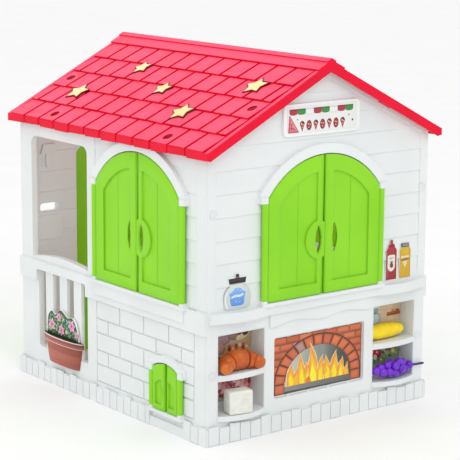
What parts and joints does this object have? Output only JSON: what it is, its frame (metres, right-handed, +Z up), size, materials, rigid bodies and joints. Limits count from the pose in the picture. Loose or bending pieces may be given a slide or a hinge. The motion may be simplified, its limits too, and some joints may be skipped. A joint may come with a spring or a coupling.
{
  "type": "plastic playhouse",
  "caption": "Child's plastic playhouse with a tiled gable roof, arched shutters, a small pet door, a back door, a porch rail and a play kitchen front.",
  "frame": {"origin": "middle of the footprint, on the floor", "axes": "+Z up, kitchen gable faces -Y, porch wall faces -X, roof ridge along Y"},
  "size_m": [0.9302, 1.1, 1.132],
  "materials": {
    "white_wall": "satin moulded polyethylene",
    "white_cap": "smooth moulded plastic",
    "white_shelf": "satin moulded plastic",
    "red_roof": "satin moulded plastic",
    "cream_sticker": "satin vinyl sticker",
    "oven_plate": "satin plastic plate",
    "oven_print": "printed film, bricks and flames",
    "printed_sheet": "printed film",
    "red_print": "printed film",
    "yellow_print": "printed film",
    "terracotta_plastic": "printed moulded plastic",
    "leaf_print": "printed film",
    "green_leaf": "satin moulded plastic",
    "toy_croissant": "smooth moulded plastic",
    "toy_corn": "smooth moulded plastic",
    "toy_grapes": "smooth moulded plastic",
    "toy_cheese": "smooth moulded plastic"
  },
  "bodies": {
    "house": {"front_wall": "white_wall", "back_wall": "white_wall", "left_wall": "white_wall", "right_wall": "white_wall", "roof_left": "red_roof", "roof_right": "red_roof", "star_stickers_left": "cream_sticker", "star_stickers_right": "cream_sticker", "roof_screws": "red_roof", "wall_screw_caps": "white_cap", "shelf_unit_left": "white_shelf", "shelf_unit_right": "white_shelf", "oven_plate": "oven_plate", "oven_print": "oven_print", "sign_board": "white_shelf", "sign_print": "printed_sheet", "jar_sticker": "printed_sheet", "red_bottle_sticker": "red_print", "yellow_bottle_sticker": "yellow_print", "niche_print_bread": "printed_sheet", "niche_print_meat": "printed_sheet", "niche_print_jars": "printed_sheet", "niche_print_vegetables": "printed_sheet", "planter_pot": "terracotta_plastic", "planter_flowers": "leaf_print"},
    "front_shutter_left": {"front_shutter_left": "green_leaf"},
    "front_shutter_right": {"front_shutter_right": "green_leaf"},
    "porch_side_shutter_left": {"porch_side_shutter_left": "green_leaf"},
    "porch_side_shutter_right": {"porch_side_shutter_right": "green_leaf"},
    "far_side_shutter_left": {"far_side_shutter_left": "green_leaf"},
    "far_side_shutter_right": {"far_side_shutter_right": "green_leaf"},
    "pet_door_left": {"pet_door_left": "green_leaf"},
    "pet_door_right": {"pet_door_right": "green_leaf"},
    "back_door_left": {"back_door_left": "green_leaf"},
    "back_door_right": {"back_door_right": "green_leaf"},
    "toy_croissant": {"toy_croissant": "toy_croissant"},
    "toy_corn": {"toy_corn": "toy_corn"},
    "toy_grapes": {"toy_grapes": "toy_grapes"},
    "toy_cheese": {"toy_cheese": "toy_cheese"}
  },
  "joints": [
    {"name": "front_shutter_left_hinge", "type": "hinge", "parent": "house", "child": "front_shutter_left", "pos_m": [-0.232, -0.528, 0.565], "axis": [0, 0, -1], "range_deg": [0, 110]},
    {"name": "front_shutter_right_hinge", "type": "hinge", "parent": "house", "child": "front_shutter_right", "pos_m": [0.232, -0.528, 0.565], "axis": [0, 0, 1], "range_deg": [0, 110]},
    {"name": "porch_side_shutter_left_hinge", "type": "hinge", "parent": "house", "child": "porch_side_shutter_left", "pos_m": [-0.4485, 0.056, 0.565], "axis": [0, 0, -1], "range_deg": [0, 110]},
    {"name": "porch_side_shutter_right_hinge", "type": "hinge", "parent": "house", "child": "porch_side_shutter_right", "pos_m": [-0.4485, -0.408, 0.565], "axis": [0, 0, 1], "range_deg": [0, 110]},
    {"name": "far_side_shutter_left_hinge", "type": "hinge", "parent": "house", "child": "far_side_shutter_left", "pos_m": [0.4485, -0.232, 0.565], "axis": [0, 0, -1], "range_deg": [0, 110]},
    {"name": "far_side_shutter_right_hinge", "type": "hinge", "parent": "house", "child": "far_side_shutter_right", "pos_m": [0.4485, 0.232, 0.565], "axis": [0, 0, 1], "range_deg": [0, 110]},
    {"name": "pet_door_left_hinge", "type": "hinge", "parent": "house", "child": "pet_door_left", "pos_m": [-0.4475, -0.251, 0.125], "axis": [0, 0, -1], "range_deg": [0, 100]},
    {"name": "pet_door_right_hinge", "type": "hinge", "parent": "house", "child": "pet_door_right", "pos_m": [-0.4475, -0.397, 0.125], "axis": [0, 0, 1], "range_deg": [0, 100]},
    {"name": "back_door_left_hinge", "type": "hinge", "parent": "house", "child": "back_door_left", "pos_m": [0.258, 0.528, 0.38], "axis": [0, 0, -1], "range_deg": [0, 110]},
    {"name": "back_door_right_hinge", "type": "hinge", "parent": "house", "child": "back_door_right", "pos_m": [-0.258, 0.528, 0.38], "axis": [0, 0, 1], "range_deg": [0, 110]},
    {"name": "croissant_slide", "type": "slide", "parent": "house", "child": "toy_croissant", "axis": [0, -1, 0], "range_m": [0, 0.12]},
    {"name": "corn_slide", "type": "slide", "parent": "house", "child": "toy_corn", "axis": [0, -1, 0], "range_m": [0, 0.12]},
    {"name": "grapes_slide", "type": "slide", "parent": "house", "child": "toy_grapes", "axis": [0, -1, 0], "range_m": [0, 0.12]},
    {"name": "cheese_slide", "type": "slide", "parent": "house", "child": "toy_cheese", "axis": [0, -1, 0], "range_m": [0, 0.12]}
  ]
}
